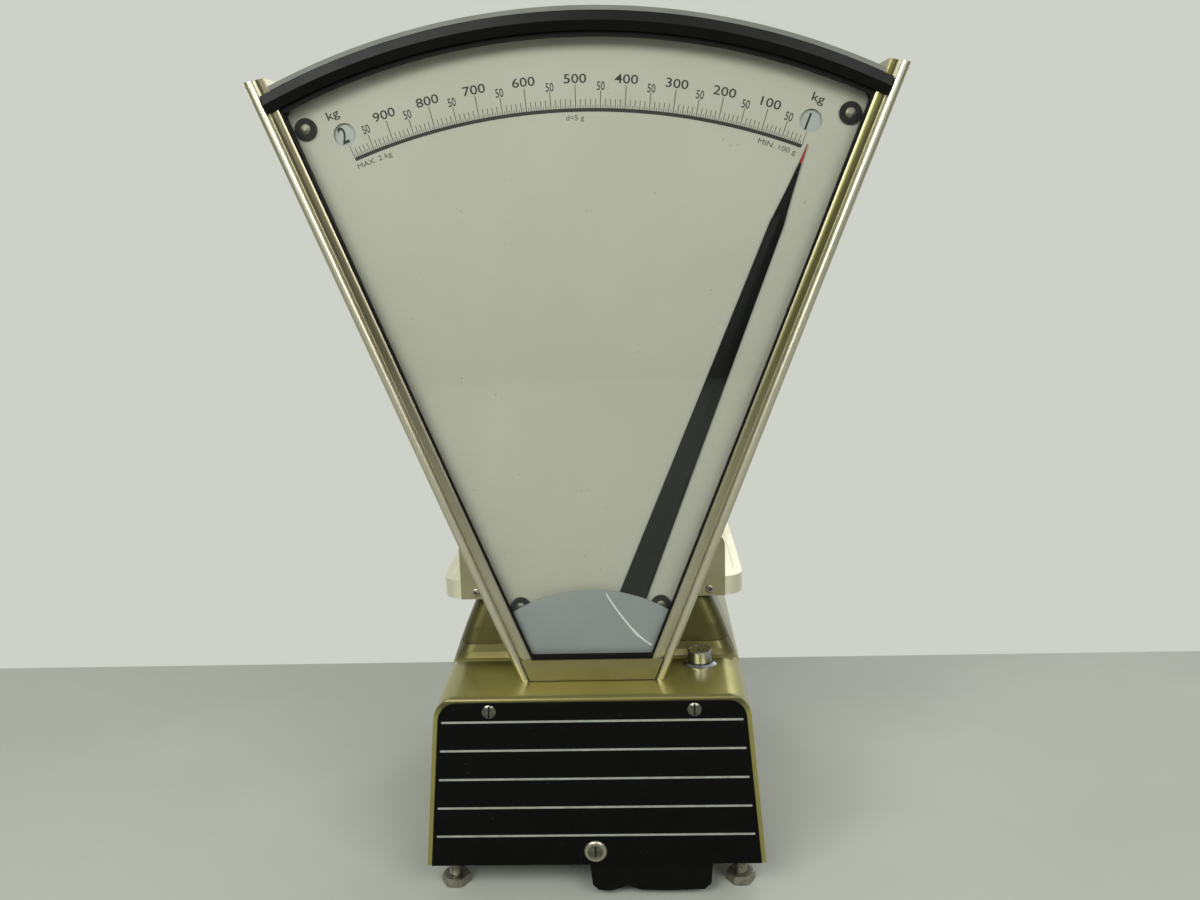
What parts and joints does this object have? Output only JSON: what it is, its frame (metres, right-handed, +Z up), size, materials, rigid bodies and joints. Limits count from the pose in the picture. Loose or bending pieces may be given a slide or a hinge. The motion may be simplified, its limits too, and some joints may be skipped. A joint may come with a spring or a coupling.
{
  "type": "mechanical counter scale",
  "caption": "Counter scale with a glazed fan head, pointer and dial on both sides, pendulum linkage, range change, pan carrier and levelling feet.",
  "frame": {"origin": "centre of the footprint on the floor, under the four feet", "axes": "+Z up, +X to the right and +Y to the back for someone who reads the front dial; the striped panel is at the front"},
  "size_m": [0.4442, 0.3084, 0.6342],
  "materials": {
    "housing_paint": "satin hammered paint, olive beige",
    "tray_paint": "satin paint, pale beige",
    "panel_black": "black with printed lines",
    "rail_metal": "anodised, pale gold",
    "cover_black": "matte black",
    "strip_grey": "satin light grey",
    "clear_glass": "clear",
    "seal_rubber": "matte black",
    "dial_white": "printed enamel, aged ivory",
    "frame_dark": "dark sheet",
    "hub_grey": "blue-grey satin paint",
    "pointer_black": "satin black with a red tip",
    "steel": "turned",
    "zinc_steel": "dull zinc",
    "chrome_knob": "worn chrome",
    "brass_parts": "plain",
    "cast_parts": "painted casting",
    "agate": null,
    "handle_black": "moulded black",
    "number_white": "printed white sheet"
  },
  "bodies": {
    "housing": {"base_housing": "housing_paint", "base_plate": "zinc_steel", "base_plate_screws": "zinc_steel", "front_panel": "panel_black", "panel_screws": "steel", "cup_washer": "steel", "cup_washer_screw": "steel", "foot_lock_nuts": "zinc_steel", "knob_escutcheon": "chrome_knob", "rail_left": "rail_metal", "rail_right": "rail_metal", "head_bottom_frame": "rail_metal", "top_cover": "cover_black", "top_strip": "strip_grey", "front_glass": "clear_glass", "rear_glass": "clear_glass", "front_glass_seal": "seal_rubber", "rear_glass_seal": "seal_rubber", "front_dial": "dial_white", "rear_dial": "dial_white", "dial_frame": "frame_dark", "dial_screws": "steel", "dial_washers": "seal_rubber", "front_hub_cover": "hub_grey", "rear_hub_cover": "hub_grey", "axle_bracket": "zinc_steel", "axle_bushes": "brass_parts", "knife_bearings": "agate", "mechanism_frame": "cast_parts", "dashpot_cylinder": "zinc_steel", "weight_guide": "zinc_steel", "range_guide_screws": "zinc_steel"},
    "foot_fl": {"foot_front_left": "zinc_steel"},
    "foot_fr": {"foot_front_right": "zinc_steel"},
    "foot_rl": {"foot_rear_left": "zinc_steel"},
    "foot_rr": {"foot_rear_right": "zinc_steel"},
    "knob": {"zero_knob": "chrome_knob", "zero_spindle": "steel"},
    "pointer": {"front_pointer": "pointer_black", "rear_pointer": "pointer_black", "pointer_axle": "steel", "pendulum_arm": "steel", "pendulum_weight": "brass_parts", "crank": "steel"},
    "link": {"connecting_link": "steel"},
    "beam": {"main_beam": "cast_parts", "knife_edges": "steel"},
    "check": {"check_link": "zinc_steel"},
    "piston": {"dashpot_piston": "steel"},
    "carrier": {"carrier_post": "zinc_steel", "pan_carrier": "tray_paint", "carrier_upstand": "tray_paint", "carrier_rivets": "zinc_steel"},
    "range_selector": {"range_handle": "handle_black", "range_slide": "zinc_steel"},
    "numbers": {"range_indicator": "number_white"},
    "counterweight": {"range_weight": "cast_parts", "weight_lifter": "steel"}
  },
  "joints": [
    {"name": "carrier_slide", "type": "slide", "parent": "housing", "child": "carrier", "axis": [0, 0, -1], "range_m": [0, 0.012], "stiffness_N_per_m": 817, "springref_m": -0.0125},
    {"name": "pointer_turn", "type": "hinge", "parent": "housing", "child": "pointer", "pos_m": [0, -0.09925, 0.1422], "axis": [0, 1, 0], "range_deg": [-42.5, 0]},
    {"name": "beam_rock", "type": "hinge", "parent": "housing", "child": "beam", "pos_m": [0, -0.03175, 0.1], "axis": [-1, 0, 0], "range_deg": [0, 9.95]},
    {"name": "link_slide", "type": "slide", "parent": "housing", "child": "link", "axis": [0, 0, 1], "range_m": [0, 0.0109]},
    {"name": "check_rock", "type": "hinge", "parent": "housing", "child": "check", "pos_m": [0.026, -0.03175, 0.058], "axis": [-1, 0, 0], "range_deg": [0, 9.95]},
    {"name": "piston_slide", "type": "slide", "parent": "housing", "child": "piston", "axis": [0, 0, -1], "range_m": [0, 0.0055]},
    {"name": "range_slide_joint", "type": "slide", "parent": "housing", "child": "range_selector", "axis": [-1, 0, 0], "range_m": [0, 0.03]},
    {"name": "numbers_lift", "type": "slide", "parent": "housing", "child": "numbers", "axis": [0, 0, 1], "range_m": [0, 0.0157]},
    {"name": "counterweight_drop", "type": "slide", "parent": "housing", "child": "counterweight", "axis": [0, 0, -1], "range_m": [0, 0.0061]},
    {"name": "knob_turn", "type": "hinge", "parent": "housing", "child": "knob", "pos_m": [0.0815, -0.09075, 0.167], "axis": [0, 0, 1], "range_deg": [-350, 350]},
    {"name": "foot_turn_fl", "type": "hinge", "parent": "housing", "child": "foot_fl", "pos_m": [-0.109, -0.12775, 0.02], "axis": [0, 0, 1], "continuous": true},
    {"name": "foot_turn_fr", "type": "hinge", "parent": "housing", "child": "foot_fr", "pos_m": [0.109, -0.12775, 0.02], "axis": [0, 0, 1], "continuous": true},
    {"name": "foot_turn_rl", "type": "hinge", "parent": "housing", "child": "foot_rl", "pos_m": [-0.109, 0.13025, 0.02], "axis": [0, 0, 1], "continuous": true},
    {"name": "foot_turn_rr", "type": "hinge", "parent": "housing", "child": "foot_rr", "pos_m": [0.109, 0.13025, 0.02], "axis": [0, 0, 1], "continuous": true}
  ],
  "couplings": [
    {"joint": "pointer_turn", "follows": "carrier_slide", "rad_per_m": -61.45},
    {"joint": "beam_rock", "follows": "carrier_slide", "rad_per_m": 14.303},
    {"joint": "link_slide", "follows": "carrier_slide", "ratio": 0.89857},
    {"joint": "check_rock", "follows": "carrier_slide", "rad_per_m": 14.303},
    {"joint": "piston_slide", "follows": "carrier_slide", "ratio": 0.45714},
    {"joint": "numbers_lift", "follows": "range_slide_joint", "ratio": 0.52},
    {"joint": "counterweight_drop", "follows": "range_slide_joint", "ratio": 0.2}
  ]
}
